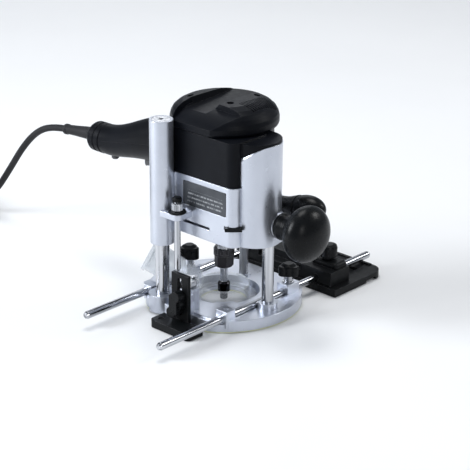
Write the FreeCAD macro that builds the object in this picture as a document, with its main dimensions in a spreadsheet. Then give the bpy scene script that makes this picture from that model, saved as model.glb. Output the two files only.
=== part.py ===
"""Plunge router with guide rods, guide stop, support foot and mains lead.

Frame: the origin is on the spindle axis, in the plane that the sole stands on.
+X runs along the two guide rods towards the guide stop, +Y towards the main handle, +Z up.
All sizes are millimetres. The driving sizes live in the spreadsheet "Sizes".
"""
import FreeCAD
import Part
import Sketcher
import math
import os
import re

from FreeCAD import Placement, Rotation, Vector

doc = FreeCAD.newDocument("PlungeRouter")
sheet = doc.addObject("Spreadsheet::Sheet", "Sizes")
VALUES = {}
NODES = []

TURN = {
    "Z": Rotation(),
    "-Z": Rotation(Vector(1, 0, 0), 180),
    "X": Rotation(Vector(0, 1, 0), 90),
    "-X": Rotation(Vector(0, 1, 0), -90),
    "Y": Rotation(Vector(1, 0, 0), -90),
    "-Y": Rotation(Vector(1, 0, 0), 90),
}


# ---------------------------------------------------------------- spreadsheet and bindings

def sizes(group, **values):
    """Write one group of driving sizes; each alias is group_name."""
    for name, value in values.items():
        alias = group + "_" + name
        row = len(VALUES) + 1
        sheet.set("A%d" % row, alias)
        sheet.set("B%d" % row, str(value))
        sheet.setAlias("B%d" % row, alias)
        VALUES[alias] = float(value)


def formula(text):
    """Prefix each alias in text with the sheet's name."""
    return re.sub(r"[a-z][a-z0-9]*(?:_[a-z0-9]+)+", lambda found: "Sizes." + found.group(0), str(text))


def bind(item, prop, text):
    """Bind a property to an expression of the sheet's aliases."""
    item.setExpression(prop, formula(text))


def number(text):
    """The value of an expression now."""
    return float(sheet.evalExpression(formula(text)))


def add(kind, **props):
    """Add a document object whose sizes are bound to the sheet."""
    item = doc.addObject(kind, kind.split("::")[1])
    for prop, text in props.items():
        bind(item, prop, text)
    return item


def put(item, at, turn="Z"):
    """Place an item: its point by expressions, its turn by name or as a Rotation."""
    rotation = TURN[turn] if isinstance(turn, str) else turn
    item.Placement = Placement(Vector(*[number(text) for text in at]), rotation)
    for letter, text in zip("xyz", at):
        bind(item, "Placement.Base." + letter, text)
    return item


# ---------------------------------------------------------------- primitives and booleans

def cylinder(radius, height, at, turn="Z"):
    return put(add("Part::Cylinder", Radius=radius, Height=height), at, turn)


def cone(radius, top, height, at, turn="Z"):
    return put(add("Part::Cone", Radius1=radius, Radius2=top, Height=height), at, turn)


def prism(corners, radius, height, at, turn="Z"):
    item = put(add("Part::Prism", Circumradius=radius, Height=height), at, turn)
    item.Polygon = corners
    return item


def box(low, high, turn=None):
    """A box between two corners given as expressions."""
    spans = ["(%s) - (%s)" % (top, base) for base, top in zip(low, high)]
    item = add("Part::Box", Length=spans[0], Width=spans[1], Height=spans[2])
    return put(item, low, turn or "Z")


def fuse(*shapes):
    item = doc.addObject("Part::MultiFuse", "Fuse")
    item.Shapes = list(shapes)
    item.Refine = True
    return item


def cut(base, *tools):
    item = doc.addObject("Part::Cut", "Cut")
    item.Base = base
    item.Tool = tools[0] if len(tools) == 1 else fuse(*tools)
    return item


def common(base, tool):
    item = doc.addObject("Part::Common", "Common")
    item.Base = base
    item.Tool = tool
    return item


def separate(*shapes):
    """Several solids kept apart in one node."""
    item = doc.addObject("Part::Compound", "Group")
    item.Links = list(shapes)
    return item


def rounded(shape, radius, chosen):
    """Fillet the edges for which chosen(edge) is true."""
    shape.recompute(True)
    item = doc.addObject("Part::Fillet", "Rounded")
    item.Base = shape
    size = number(radius)
    item.Edges = [(i + 1, size, size) for i, edge in enumerate(shape.Shape.Edges) if chosen(edge)]
    if not item.Edges:
        raise ValueError("no edge chosen for a fillet of %s" % radius)
    return item


def along(edge, axis):
    """True for a straight edge parallel to an axis."""
    if not isinstance(edge.Curve, Part.Line):
        return False
    return abs(abs(edge.Curve.Direction.dot(axis)) - 1) < 1e-6


def upright(edge):
    return along(edge, Vector(0, 0, 1))


def node(name, item):
    """Label a finished sub-part; the label is also its file's name."""
    item.Label = name
    NODES.append(item)
    return item


# ---------------------------------------------------------------- PartDesign bodies

def radial_slab(angle, start, aside, low, size):
    """A box laid out along a direction from the spindle axis; size is its length, width and height."""
    slab = add("Part::Box", Length=size[0], Width=size[1], Height=size[2])
    cosine = "cos(%d)" % angle
    sine = "sin(%d)" % angle
    corner = (
        "%s * %s - %s * %s" % (start, cosine, aside, sine),
        "%s * %s + %s * %s" % (start, sine, aside, cosine),
        low,
    )
    return put(slab, corner, Rotation(Vector(0, 0, 1), angle))


def origin_plane(body, role):
    return [item for item in body.Origin.OriginFeatures if item.Role == role][0]


def outline(body, role, points, offset="0"):
    """A closed sketch of straight lines, each corner tied to the origin by the sheet."""
    sketch = body.newObject("Sketcher::SketchObject", "Outline")
    sketch.AttachmentSupport = [(origin_plane(body, role), "")]
    sketch.MapMode = "FlatFace"
    bind(sketch, "AttachmentOffset.Base.z", offset)
    corners = [(number(a), number(b)) for a, b in points]
    count = len(corners)
    for i in range(count):
        start = Vector(*corners[i], 0)
        end = Vector(*corners[(i + 1) % count], 0)
        sketch.addGeometry(Part.LineSegment(start, end))
    for i in range(count):
        sketch.addConstraint(Sketcher.Constraint("Coincident", i, 2, (i + 1) % count, 1))
    for i, texts in enumerate(points):
        for kind, text, value in zip(("DistanceX", "DistanceY"), texts, corners[i]):
            index = sketch.addConstraint(Sketcher.Constraint(kind, -1, 1, i, 1, value))
            sketch.setExpression("Constraints[%d]" % index, formula(text))
    return sketch


def turned(name, points, at, turn="Z"):
    """A turned sub-part: its half section in radius and height, revolved about its axis."""
    body = doc.addObject("PartDesign::Body", name)
    sketch = outline(body, "XZ_Plane", points)
    lathe = body.newObject("PartDesign::Revolution", "Turning")
    lathe.Profile = sketch
    lathe.ReferenceAxis = (sketch, ["V_Axis"])
    lathe.Angle = 360
    sketch.Visibility = False
    return put(body, at, turn)


def plate(name, role, points, thickness, at, offset="0"):
    """A flat sub-part padded from a closed outline, on the normal's side."""
    body = doc.addObject("PartDesign::Body", name)
    sketch = outline(body, role, points, offset)
    pad = body.newObject("PartDesign::Pad", "Slab")
    pad.Profile = sketch
    bind(pad, "Length", thickness)
    return put(body, at)


# ---------------------------------------------------------------- driving sizes

sizes("fit", run=0.05, press=0.02, air=0.3)
sizes("sole", thick=1.5, edge=80.4)
sizes("base", radius=81, flat=69, top=12.6, opening=24, recess=37, floor=4.5, boss=19.5)
sizes("rod", radius=4, side=51.5, level=14, start=-146, length=320)
sizes("left", x=-60.2, y=28.7, radius=7, top=130, boss=14.5)
sizes("right", x=-3.5, y=-63.6, radius=6, top=122, boss=10)
sizes("stroke", full=55)
sizes("rail", low=44, high=59, top=23)
sizes("house", low=87, high=148.5, radius=50, front=-48.5, side=-58, corner=10, inner=44.5)
sizes("house", floor=100)
sizes("nose", low=75, radius=22, bore=9.5)
sizes("sleeve", radius=12, low=75, high=204.4)
sizes("pod", x=-11.4, y=-52.8, radius=26, back=-37, low=86.5, high=190, round=173, facing=184)
sizes("case", high=195, wall=3)
sizes("cap", high=220, radius=54.6, wall=2.8)
sizes("stop", x=-62, y=5.45, radius=3.25, low=52, arm_low=107, arm_high=113)
sizes("turret", x=-61.5, y=-4, radius=12, low=38.3, high=44, reach=9.45)
sizes("lock", level=106, x=-3.5)
sizes("tie", x=42, y=11, outer=4.7, inner=3.7, top=88.8)


# ---------------------------------------------------------------- base

def base_plate():
    """Cast base: flat-sided disc, column bosses, rod rails, foot post and hood recess."""
    disc = common(
        cylinder("base_radius", "base_top - sole_thick", ("0", "0", "sole_thick")),
        box(("-base_flat", "-90", "0"), ("base_flat", "90", "base_top")))
    bosses = [
        cylinder("left_boss", "base_boss - sole_thick", ("left_x", "left_y", "sole_thick")),
        cylinder("right_boss", "base_boss - sole_thick", ("right_x", "right_y", "sole_thick")),
        cylinder("tie_outer + 2.5", "3", ("tie_x", "tie_y", "base_top - 1")),
    ]
    rails = [
        box(("-58.5", "-rail_high", "5"), ("-46", "-rail_low", "rail_top")),
        box(("33", "-rail_high", "5"), ("51", "-rail_low", "rail_top")),
        box(("-8", "rail_low", "5"), ("11", "rail_high + 3", "rail_top + 1")),
        box(("-62", "rail_low", "5"), ("-50", "rail_high", "rail_top - 2")),
    ]
    surround = cut(
        box(("-66", "-rail_low - 1", "5"), ("-20", "-20", "base_top + 2")),
        cylinder("base_recess", "60", ("0", "0", "-1")))
    post = box(("-66", "-20", "5"), ("-57", "9", "turret_low - fit_air"))
    pad = box(("-73.7", "-21", "8"), ("-65", "-5", "34"))
    body = fuse(disc, *bosses, *rails, surround, post, pad)
    bounds = cylinder("base_radius + 1.6", "60", ("0", "0", "0"))
    body = fuse(common(body, bounds), bosses[0])
    rods = [
        cylinder("rod_radius + fit_run", "400", ("-200", side, "rod_level"), "X")
        for side in ("rod_side", "-rod_side")
    ]
    channels = [
        box(("-46", "-rod_side - 5", "9.3"), ("33", "-rod_side + 5", "30")),
        box(("-50", "rod_side - 5", "9.3"), ("-8", "rod_side + 5", "30")),
        box(("11", "rod_side - 5", "9.3"), ("75", "rod_side + 5", "30")),
        box(("51", "-rod_side - 5", "9.3"), ("75", "-rod_side + 5", "30")),
        box(("-80", "-rod_side - 5", "9.3"), ("-58.5", "-rod_side + 5", "30")),
        box(("-80", "rod_side - 5", "9.3"), ("-62", "rod_side + 5", "30")),
    ]
    holes = [
        cylinder("base_opening", "20", ("0", "0", "0")),
        cylinder("base_recess", "40", ("0", "0", "base_floor")),
        cylinder("left_radius + fit_press", "40", ("left_x", "left_y", "5")),
        cylinder("right_radius + fit_press", "40", ("right_x", "right_y", "5")),
        cylinder("3.05", "8", ("left_x", "left_y", "0")),
        cylinder("3.05", "8", ("right_x", "right_y", "0")),
        cylinder("tie_outer + fit_press", "20", ("tie_x", "tie_y", "8")),
        cylinder("2.5", "14", ("-52", "-rod_side", "rod_level")),
        cylinder("3.1", "14", ("42", "-rod_side", "rod_level")),
        cylinder("3.1", "14", ("1.6", "rod_side", "rod_level")),
        cylinder("2.55", "12", ("turret_x", "turret_y", "turret_low - 12")),
        cylinder("3.05", "17", ("-76", "-13", "27"), "X"),
        box(("-40", "18", "base_floor"), ("-4", "46", "30")),
    ]
    screws = [cylinder("1.55", "8", (x, y, "0")) for x, y in SOLE_SCREWS]
    screws += [cylinder("1.55", "8", (x, y, "0")) for x, y in HOOD_SCREWS]
    countersinks = [
        cylinder("5.05", "3.05", ("left_x", "left_y", "0")),
        cylinder("5.05", "3.05", ("right_x", "right_y", "0")),
    ]
    return node("base_plate", cut(body, *rods, *channels, *holes, *screws, *countersinks))


SOLE_SCREWS = [("-44", "62"), ("-44", "-62"), ("52", "50"), ("52", "-50")]
HOOD_SCREWS = [("30", "-4"), ("-22", "-21")]


def sole_plate():
    """Thin slippery sheet under the base, with the same flats and opening."""
    disc = common(
        cylinder("sole_edge", "sole_thick", ("0", "0", "0")),
        box(("-base_flat", "-90", "0"), ("base_flat", "90", "sole_thick")))
    holes = [cylinder("base_opening", "5", ("0", "0", "-1"))]
    holes += [cylinder("3.05", "5", (x, y, "-1")) for x, y in SOLE_SCREWS]
    holes += [
        cylinder("5.6", "5", ("left_x", "left_y", "-1")),
        cylinder("5.6", "5", ("right_x", "right_y", "-1")),
    ]
    return node("sole_plate", cut(disc, *holes))


def base_screws():
    """Fasteners of the base: sole screws, column bolts, hood screws and a rod's grub screw."""
    screws = []
    for x, y in SOLE_SCREWS:
        head = cone("3", "1.5", "1.2", (x, y, "0.3"))
        screws.append(fuse(head, cylinder("1.5", "6", (x, y, "1.5"))))
    for side in ("left", "right"):
        head = cylinder("5", "2.6", (side + "_x", side + "_y", "0.3"))
        socket = prism(6, "2.3", "2", (side + "_x", side + "_y", "0.2"))
        shank = cylinder("3", "11.9", (side + "_x", side + "_y", "2.9"))
        screws.append(cut(fuse(head, shank), socket))
    for x, y in HOOD_SCREWS:
        head = cylinder("2.8", "1.8", (x, y, "base_floor + 1.65"))
        screws.append(fuse(head, cylinder("1.5", "4.7", (x, y, "base_floor - 2.9"))))
    grub = cylinder("2.45", "3.2", ("-52", "-rod_side", "rod_level + rod_radius + fit_air"))
    screws.append(cut(grub, prism(6, "1.4", "3", ("-52", "-rod_side", "rod_level + rod_radius + 1.8"))))
    node("base_screws", separate(*screws))


def column(side):
    """Ground and chromed guide column, tapped at its foot, bevelled at its top."""
    outer = side + "_radius"
    points = [
        ("3.05", "0"), (outer, "0"), (outer, side + "_top - 7"),
        (outer + " - 1", side + "_top - 6"), ("0", side + "_top - 6"), ("0", "14"), ("3.05", "14"),
    ]
    return node("column_" + side, turned("Column", points, (side + "_x", side + "_y", "6")))


def spring_parts():
    """Grey tube on the base that guides the spring of the plunge."""
    points = [
        ("0", "0"), ("tie_outer", "0"), ("tie_outer", "tie_top - 8"), ("tie_inner", "tie_top - 8"),
        ("tie_inner", "4"), ("0", "4"),
    ]
    node("spring_tube", turned("SpringTube", points, ("tie_x", "tie_y", "8")))
    coil = add("Part::Helix", Pitch="spring_pitch", Height="spring_length", Radius="spring_radius")
    put(coil, ("tie_x", "tie_y", "12.6"))
    wire = put(add("Part::Circle", Radius="spring_wire"), ("tie_x + spring_radius", "tie_y", "12.6"), "Y")
    sweep = doc.addObject("Part::Sweep", "Spring")
    sweep.Sections = [wire]
    sweep.Spine = (coil, ["Edge1"])
    sweep.Solid = True
    sweep.Frenet = True
    node("plunge_spring", sweep)


sizes("spring", pitch=7, length=131, radius=2.9, wire=0.55)


def spout_tilt():
    """The turn that points Z along the spout's axis."""
    heading = math.radians(number("hood_heading"))
    return Rotation(Vector(-math.sin(heading), math.cos(heading), 0), 90 - number("hood_rise"))


def dust_hood():
    """Clear hood: round wall in the base's recess, and a spout that rises to the hose mouth."""
    rim = [
        ("24.6", "0"), ("34", "0"), ("34", "1.6"), ("27.2", "1.6"), ("26.4", "14.6"), ("27.2", "15.5"),
        ("26.6", "16"), ("25", "16"), ("24.8", "14"), ("25.2", "2"), ("24.6", "2"),
    ]
    wall = turned("HoodWall", rim, ("0", "0", "base_floor"))
    tilt = spout_tilt()
    start = ("hood_reach * cos(hood_heading)", "hood_reach * sin(hood_heading)", "hood_axis")
    outer = cone("hood_root", "hood_mouth", "hood_length", start, tilt)
    inner = cone("hood_root - 1.7", "hood_mouth - 1.7", "hood_length", start, tilt)
    outer = cut(outer, box(("-120", "-60", "-20"), ("60", "160", "base_floor + 0.2")))

    def ring(radius, back, length):
        """A cylinder on the spout's axis, starting a distance back from the mouth."""
        at = ["%s + (hood_length - %s) * %s" % (text, back, part) for text, part in zip(start, HOOD_AXIS)]
        return cylinder(radius, length, at, tilt)

    lip = ring("hood_mouth + 1.2", "4", "4")
    collar = ring("hood_mouth", "hood_socket", "hood_socket")
    socket = ring("hood_mouth - 1.7", "hood_socket", "hood_socket + 2")
    inside = cylinder("26", "40", ("0", "0", "-10"))
    spout = cut(fuse(outer, collar, lip), inner, socket, inside)
    doorway = cut(wall, common(inner, cylinder("60", "80", ("0", "0", "base_floor + 1.9"))))
    hood = fuse(doorway, spout)
    holes = [cylinder("1.55", "12", (x, y, "0")) for x, y in HOOD_SCREWS]
    return node("dust_hood", cut(hood, *holes))


sizes("hood", heading=124, rise=27, reach=22, axis=17.5, root=10.5, mouth=17, length=64, socket=16)
HOOD_AXIS = ["cos(hood_rise) * cos(hood_heading)", "cos(hood_rise) * sin(hood_heading)", "sin(hood_rise)"]


def turret():
    """Revolving stop: knurled disc on its pivot and three stop screws of different height."""
    points = [
        ("0", "-9"), ("2.5", "-9"), ("2.5", "0"), ("turret_radius - 0.8", "0"), ("turret_radius", "0.8"),
        ("turret_radius", "turret_high - turret_low - 0.8"),
        ("turret_radius - 0.8", "turret_high - turret_low"), ("0", "turret_high - turret_low"),
    ]
    disc = turned("TurretDisc", points, ("turret_x", "turret_y", "turret_low"))
    notches = []
    for i in range(12):
        angle = 30 * i + 15
        x = "turret_x + (turret_radius + 0.6) * cos(%d)" % angle
        y = "turret_y + (turret_radius + 0.6) * sin(%d)" % angle
        notches.append(cylinder("1.3", "12", (x, y, "turret_low - 2")))
    holes = [cylinder("2.02", "20", (x, y, "turret_low - 5")) for x, y, top in TURRET_STOPS]
    node("turret_disc", cut(disc, *notches, *holes))
    screws = []
    for x, y, top in TURRET_STOPS:
        stem = cylinder("2", "%s - turret_low - 1" % top, (x, y, "turret_low + 1"))
        nut = prism(6, "3.4", "1.4", (x, y, "turret_high"))
        screws.append(fuse(stem, nut))
    node("turret_screws", separate(*screws))


TURRET_STOPS = [
    ("turret_x + turret_reach * cos(%s)" % angle, "turret_y + turret_reach * sin(%s)" % angle, top)
    for angle, top in ((93, "stop_low - fit_air"), (213, "47.6"), (333, "46.2"))
]


def clamp_knob(name, x, y, top, height):
    """Star knob with a chromed neck and a screw that presses on a guide rod."""
    low = top
    stem = cylinder("3", "%s - (rod_level + rod_radius) + %s - fit_air" % (low, "8"),
                    (x, y, "rod_level + rod_radius + fit_air"))
    washer = cylinder("6", "1.4", (x, y, low + " + 0.2"))
    neck = cylinder("4.6", "6", (x, y, low + " + 1.6"))
    node(name + "_screw", fuse(stem, washer, neck))
    hub = cylinder("8.2", height, (x, y, low + " + 8.1"))
    lobes = []
    for i in range(3):
        angle = 120 * i + 40
        lobe_x = "%s + 6.4 * cos(%d)" % (x, angle)
        lobe_y = "%s + 6.4 * sin(%d)" % (y, angle)
        lobes.append(cylinder("4.9", height, (lobe_x, lobe_y, low + " + 8.1")))
    head = fuse(hub, *lobes)
    head = rounded(head, "1.4", lambda edge: abs(edge.BoundBox.ZLength) < 1e-6)
    dome = cone("8", "4.5", "2.2", (x, y, "%s + 8.1 + %s - 0.01" % (low, height)))
    node(name + "_knob", fuse(head, dome))


# ---------------------------------------------------------------- guide rods and guide stop

def guide_rods():
    """Two plated rods with bevelled ends."""
    points = [
        ("0", "0"), ("rod_radius - 1.2", "0"), ("rod_radius", "2.4"), ("rod_radius", "rod_length - 2.4"),
        ("rod_radius - 1.2", "rod_length"), ("0", "rod_length"),
    ]
    sides = ("-rod_side", "rod_side")
    rods = [turned("Rod", points, ("rod_start", side, "rod_level"), "X") for side in sides]
    node("guide_rods", separate(*rods))


sizes("guide", low=84, wide=30, front=-72, back=62, top=30, plate=8, reach=166, tower=30)


def guide_stop():
    """Guide stop: a slotted plate that follows a rail, and a cast body clamped on the rods."""
    slab = box(("guide_low", "guide_front - 8", "0"), ("guide_reach", "guide_back + 2", "guide_plate"))
    slab = rounded(slab, "14", lambda edge: upright(edge) and edge.BoundBox.XMin > 100)
    groove = box(("guide_reach - 30", "-200", "-1"), ("guide_reach - 14", "200", "3"))
    slots = [
        box(("guide_reach - 26", "-60", "-1"), ("guide_reach - 20", "-38", "20")),
        box(("guide_reach - 26", "30", "-1"), ("guide_reach - 20", "52", "20")),
    ]
    lips = box(("guide_reach - 5", "guide_front + 8", "guide_plate - 1"),
               ("guide_reach - 1.5", "guide_back - 12", "guide_plate + 1.4"))
    holes = [cylinder("2.55", "20", (x, y, "-1")) for x, y in STOP_SCREWS]
    node("stop_plate", cut(fuse(slab, lips), groove, *slots, *holes))
    edge = "guide_low + 2 + guide_wide"
    body = box(("guide_low + 2", "guide_front", "guide_plate"), (edge, "guide_back", "24"))
    tower = box(("guide_low + 12", "guide_front + 2", "20"), (edge, "-36", "guide_tower"))
    tower = rounded(tower, "4", lambda edge: upright(edge) or edge.BoundBox.ZMin > 28)
    rear = box(("guide_low + 12", "38", "20"), (edge, "guide_back - 2", "guide_tower"))
    rear = rounded(rear, "4", lambda edge: upright(edge) or edge.BoundBox.ZMin > 28)
    bores = [
        cylinder("rod_radius + fit_run", "80", ("guide_low - 10", side, "rod_level"), "X")
        for side in ("rod_side", "-rod_side")
    ]
    threads = [
        cylinder("3.05", "40", ("guide_low + 22", "-rod_side", "rod_level")),
        cylinder("3.05", "40", ("guide_low + 22", "rod_side", "rod_level")),
    ]
    waist = box(("guide_low - 1", "-30", "16"), ("guide_low + 14", "30", "60"))
    holes = [cylinder("2.0", "9", (x, y, "7")) for x, y in STOP_SCREWS]
    node("stop_body", cut(fuse(body, tower, rear), waist, *bores, *threads, *holes))
    screws = []
    for x, y in STOP_SCREWS:
        head = cylinder("2.5", "2", (x, y, "1"))
        screws.append(fuse(head, cylinder("1.98", "10", (x, y, "3"))))
    node("stop_screws", separate(*screws))


def stop_knob(name, side):
    """Ribbed thumb knob and its screw, which clamps the guide stop on a rod."""
    knob = turned("Knob", [
        ("3.02", "0"), ("6.5", "0"), ("6.5", "1.4"), ("9", "2.2"), ("9.4", "12"), ("8.4", "14.6"),
        ("5", "15.6"), ("0", "15.8"), ("0", "11"), ("3.02", "11"),
    ], ("guide_low + 22", side, "guide_tower + 0.6"))
    ribs = [
        cylinder("0.9", "15", ("guide_low + 22 + 9.7 * cos(%d)" % angle,
                               "%s + 9.7 * sin(%d)" % (side, angle), "guide_tower + 2"))
        for angle in range(0, 360, 24)
    ]
    reach = "guide_tower + 11 - rod_level - rod_radius - fit_air"
    screw = cylinder("3", reach, ("guide_low + 22", side, "rod_level + rod_radius + fit_air"))
    node("stop_knob_" + name, separate(cut(knob, *ribs), screw))


STOP_SCREWS = [("guide_low + 12", "-22"), ("guide_low + 12", "22"), ("guide_low + 24", "0")]


# ---------------------------------------------------------------- support foot

sizes("foot", back=-73.9, thick=4, low=-24.4, high=-1.9, top=57, toe=8, reach=-98, start=-44, end=10)


def support_foot():
    """Slotted upright plate with a foot bar, clamped to the post of the base."""
    upright_plate = box(
        ("foot_back - foot_thick", "foot_low", "0.5"), ("foot_back", "foot_high", "foot_top"))
    bar = box(("foot_reach", "foot_start", "0"), ("foot_back - foot_thick + 1", "foot_end", "foot_toe"))
    bar = rounded(bar, "5", lambda edge: upright(edge) and edge.BoundBox.XMin < -90)
    slot = fuse(
        box(("foot_back - 9", "-13 - 3.2", "16"), ("foot_back + 3", "-13 + 3.2", "50")),
        cylinder("3.2", "12", ("foot_back - 9", "-13", "16"), "X"),
        cylinder("3.2", "12", ("foot_back - 9", "-13", "50"), "X"))
    dimples = [
        cylinder("3", "3", ("foot_reach + 9", y, "foot_toe - 1"))
        for y in ("foot_start + 8", "foot_end - 8")
    ]
    node("support_foot", cut(fuse(upright_plate, bar), slot, *dimples))
    seat = "foot_back - foot_thick - fit_air"
    screw = cylinder("3", "19", ("foot_back - foot_thick - 7", "-13", "27"), "X")
    hub = cylinder("8", "7", (seat + " - 7", "-13", "27"), "X")
    wing = fuse(
        cylinder("5.6", "9", (seat + " - 10", "-13 - 3", "27 + 9"), "X"),
        cylinder("5.6", "9", (seat + " - 10", "-13 + 3", "27 - 9"), "X"),
        box((seat + " - 10", "-13 - 5.2", "27 - 10"), (seat + " - 1", "-13 + 5.2", "27 + 10")))
    knob = fuse(hub, wing)
    bore = cylinder("3 + fit_press", "6", ("foot_back - foot_thick - 7.1", "-13", "27"), "X")
    node("support_knob", separate(cut(knob, bore), screw))


# ---------------------------------------------------------------- carriage castings

def motor_housing():
    """Cast housing: round barrel with a flat front, nose, column sleeve and column pod."""
    barrel = common(
        cylinder("house_radius", "house_high - house_low", ("0", "0", "house_low")),
        box(("house_front", "-60", "house_low"), ("60", "60", "house_high")))
    front = box(("house_front", "house_side", "house_low"), ("-2", "30", "house_high"))
    front = rounded(front, "house_corner", front_corner)
    nose = cylinder("nose_radius", "house_low - nose_low + 1", ("0", "0", "nose_low"))
    sleeve = cylinder("sleeve_radius", "sleeve_high - sleeve_low", ("left_x", "left_y", "sleeve_low"))
    web = box(("left_x", "left_y - 8", "house_low"), ("-30", "left_y + 9", "house_high"))
    pod = pod_form("0")
    boss = cone("16", "12.4", "14.5", ("lock_x", "-64.5", "lock_level"), "-Y")
    keel = box(("lock_x - 6", "-79", "pod_low + 1.4"), ("lock_x + 6", "-68", "lock_level - 8"))
    arm = box(("stop_x - 8", "stop_y - 8", "stop_arm_low"), ("-45", "left_y", "stop_arm_high"))
    arm = rounded(arm, "6", lambda edge: front_corner(edge) and edge.BoundBox.XMin < -60)
    lug = cylinder("tie_outer + 4", "house_high - house_low", ("tie_x", "tie_y", "house_low"))
    rest = cylinder("9.5", "20", ("rest_x", "-26", "rest_level"), "-Y")
    solid = fuse(barrel, front, nose, sleeve, web, pod, boss, keel, arm, lug, rest)
    ribs = [
        box(("-2.5", "-50", "house_floor"), ("2.5", "50", "house_high")),
        box(("-50", "-2.5", "house_floor"), ("50", "2.5", "house_high")),
        cylinder("tie_outer + 2.8", "80", ("tie_x", "tie_y", "house_floor - 1")),
    ]
    thick_floor = put(add("Part::Box", Length="15", Width="38", Height="4.5"),
                      ("34 * cos(hood_heading) + 19 * sin(hood_heading)",
                       "34 * sin(hood_heading) - 19 * cos(hood_heading)", "house_floor - 1"),
                      Rotation(Vector(0, 0, 1), number("hood_heading")))
    chamber = cut(cylinder("house_inner", "80", ("0", "0", "house_floor")), *ribs, thick_floor)
    spout_room = cone("hood_root + 1.2", "hood_mouth + 1.2", "hood_length",
                      ("hood_reach * cos(hood_heading)", "hood_reach * sin(hood_heading)",
                       "hood_axis + stroke_full"), spout_tilt())
    right_bore = "stroke_full + right_top - pod_low + 3"
    cavity = [
        chamber,
        cylinder("33.05", "80", ("0", "0", "house_floor + 1")),
        cylinder("14.02", "20", ("0", "0", "91")),
        cylinder("nose_bore", "40", ("0", "0", "70")),
        cylinder("left_radius + 1.6", "sleeve_high - sleeve_low - 8",
                 ("left_x", "left_y", "sleeve_low - 1")),
        cylinder("2.6", "20", ("left_x", "left_y", "sleeve_high - 12")),
        cylinder("9.5", "2.5", ("left_x", "left_y", "sleeve_high - 1.2")),
        cylinder("right_radius + 1.6", right_bore, ("right_x", "right_y", "pod_low - 1")),
        cylinder("4.05", "30", ("lock_x", "-66", "lock_level"), "-Y"),
        cylinder("stop_radius + fit_run", "12", ("stop_x", "stop_y", "stop_arm_low - 3")),
        cylinder("tie_outer + fit_air", "house_high - house_low - 3", ("tie_x", "tie_y", "house_low - 1")),
        cylinder("12.8", "25", ("1.6", "rod_side", "house_low - 5")),
        box(("house_front - 1", "-25.6", "98.6"), ("-40", "11", "101.4")),
        box(("house_front - 1", "plate_low", "plate_base"), ("house_front + 0.6", "plate_high", "plate_top")),
        cylinder("3.03", "20", ("rest_x", "-34", "rest_level"), "-Y"),
        lock_slot("arrest_deep + arrest_travel + 0.6", "fit_air"),
        spout_room,
    ]
    return node("motor_housing", cut(solid, *cavity))


sizes("rest", x=34, level=109)
sizes("plate", low=-47.7, high=10.5, base=118, top=143)
sizes("arrest", width=17, level=106.3, tall=4, deep=12, proud=0.6, travel=3)


def pod_form(grown):
    """The column pod, grown by a gap: a cylinder whose front top shoulder is rounded off."""
    post = common(
        cylinder("pod_radius + " + grown, "pod_high - pod_low + 1 * " + grown, ("pod_x", "pod_y", "pod_low")),
        box(("-60", "-90", "pod_low"), ("30", "pod_back + 1 * " + grown, "pod_high + 10")))
    reach = "(pod_radius + pod_round - pod_high)"
    facing = Rotation(Vector(0, 0, 1), number("pod_facing"))
    start = (
        "pod_x + 40 * (sin(pod_facing) - cos(pod_facing))",
        "pod_y - 40 * (sin(pod_facing) + cos(pod_facing))",
        "pod_low",
    )
    axis = (
        "pod_x + %s * cos(pod_facing) + 40 * sin(pod_facing)" % reach,
        "pod_y + %s * sin(pod_facing) - 40 * cos(pod_facing)" % reach,
        "pod_round",
    )
    flat = add("Part::Box", Length="40 + " + reach, Width="80", Height="pod_high - pod_low + 1 * " + grown)
    lower = add("Part::Box", Length="80", Width="80", Height="pod_round - pod_low")
    shoulder = cylinder("pod_high - pod_round + " + grown, "80", axis, facing.multiply(TURN["Y"]))
    return common(post, fuse(put(flat, start, facing), put(lower, start, facing), shoulder))


def front_corner(edge):
    """True for the upright edge at the front left of a casting."""
    return upright(edge) and edge.BoundBox.XMin < -30 and edge.BoundBox.YMin < 0


def lock_slot(deep, gap):
    """The block of the spindle lock in the housing's rounded corner, grown sideways by a gap."""
    corner = Rotation(Vector(0, 0, 1), 45)
    grown = " + 2 * " + gap
    item = add("Part::Box", Length=deep, Width="arrest_width" + grown, Height="arrest_tall" + grown)
    out = "(house_corner + arrest_proud) * cos(45)"
    half = "(arrest_width / 2 + %s) * cos(45)" % gap
    return put(item, ("house_front + house_corner - %s + %s" % (out, half),
                      "house_side + house_corner - %s - %s" % (out, half),
                      "arrest_level - arrest_tall / 2 - %s" % gap), corner)


def spindle_lock():
    """Push button in the housing's corner that stops the spindle for a tool change."""
    node("spindle_lock", lock_slot("arrest_deep", "0"))


def rating_plate():
    """Thin plate let into the flat front of the housing."""
    slab = box(("house_front - 0.3", "plate_low + 0.2", "plate_base + 0.2"),
               ("house_front + 0.55", "plate_high - 0.2", "plate_top - 0.2"))
    node("rating_plate", rounded(slab, "1.2", lambda edge: along(edge, Vector(1, 0, 0))))


def column_bushes():
    """Four plain bushes, two in the sleeve and two in the pod."""
    bushes = []
    for side, spans in (("left", (("76.5", "22"), ("108", "18"))), ("right", (("88", "11"), ("112", "9")))):
        for low, length in spans:
            outer = cylinder(side + "_radius + 1.58", length, (side + "_x", side + "_y", low))
            inner = cylinder(side + "_radius + fit_run", length, (side + "_x", side + "_y", low))
            bushes.append(cut(outer, inner))
    node("column_bushes", separate(*bushes))


def sleeve_plug():
    """Bored disc that closes the top of the column sleeve."""
    disc = cylinder("9.45", "1.1", ("left_x", "left_y", "sleeve_high - 1.15"))
    node("sleeve_plug", cut(disc, cylinder("2.6", "4", ("left_x", "left_y", "sleeve_high - 2"))))


# ---------------------------------------------------------------- depth stop and plunge lock

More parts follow.
